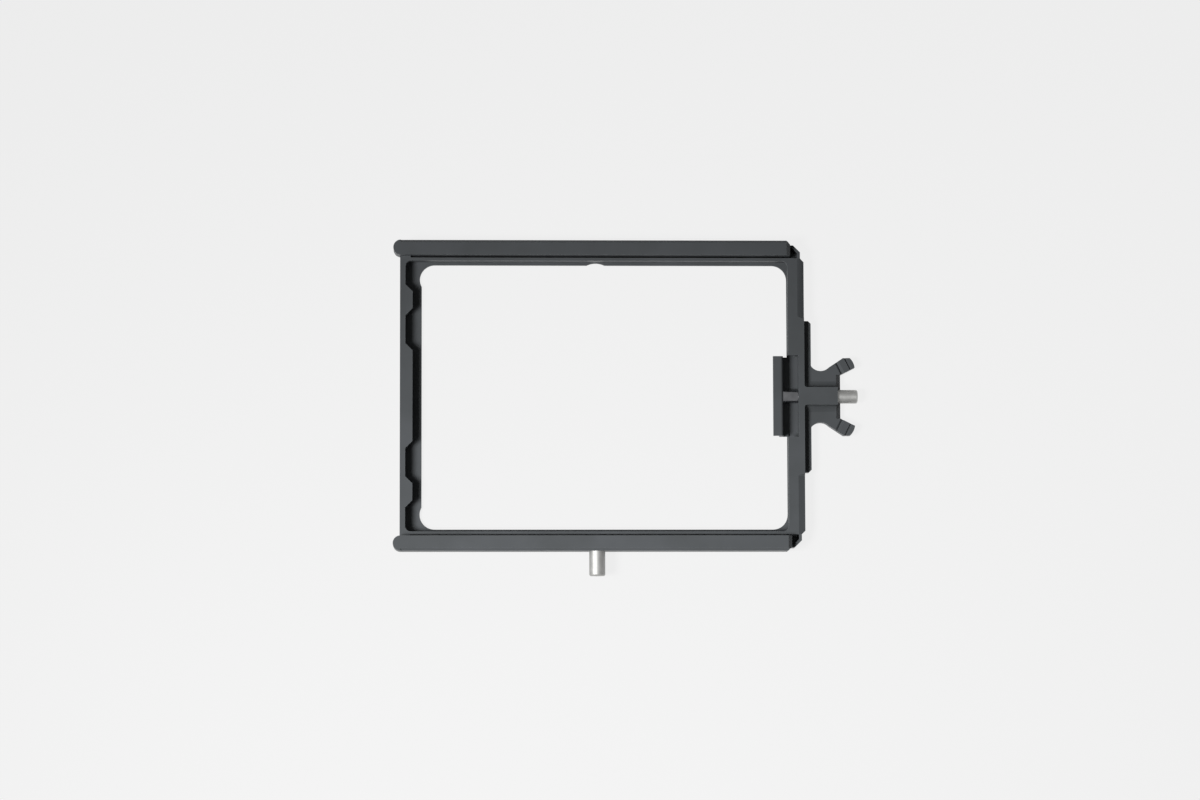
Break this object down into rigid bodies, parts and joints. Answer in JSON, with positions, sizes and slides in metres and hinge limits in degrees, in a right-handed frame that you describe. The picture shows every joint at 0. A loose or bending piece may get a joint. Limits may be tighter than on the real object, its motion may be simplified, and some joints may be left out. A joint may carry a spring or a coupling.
{
  "type": "filter tray",
  "caption": "Flat tray for a rectangular glass filter: toothed seat at one end, sprung jaw with release pin and finger wings at the other, side guide rails and a stop pin.",
  "frame": {"origin": "middle of the light window, on the tray's back face", "axes": "+X along the tray towards the handle and release pin, +Y across the tray away from the stop pin, +Z out of the front, towards the viewer"},
  "size_m": [0.1745, 0.126, 0.011],
  "materials": {
    "black_anodised": "satin black anodised",
    "black_steel": "black oxide",
    "bright_steel": "fine turned stainless",
    "spring_steel": "bright drawn wire",
    "brass": "turned"
  },
  "bodies": {
    "tray": {"tray_frame": "black_anodised", "upper_rail": "black_anodised", "lower_rail": "black_anodised", "upper_rail_screws": "black_steel", "lower_rail_screws": "black_steel", "stop_pin": "bright_steel", "jaw_bush": "brass", "jaw_spring": "spring_steel"},
    "jaw": {"filter_jaw": "black_anodised", "jaw_rod": "black_steel", "release_pin": "bright_steel"}
  },
  "joints": [
    {"name": "jaw_slide", "type": "slide", "parent": "tray", "child": "jaw", "axis": [1, 0, 0], "range_m": [0, 0.0057], "stiffness_N_per_m": 600, "springref_m": -0.004, "deforming": ["jaw_spring"]}
  ]
}
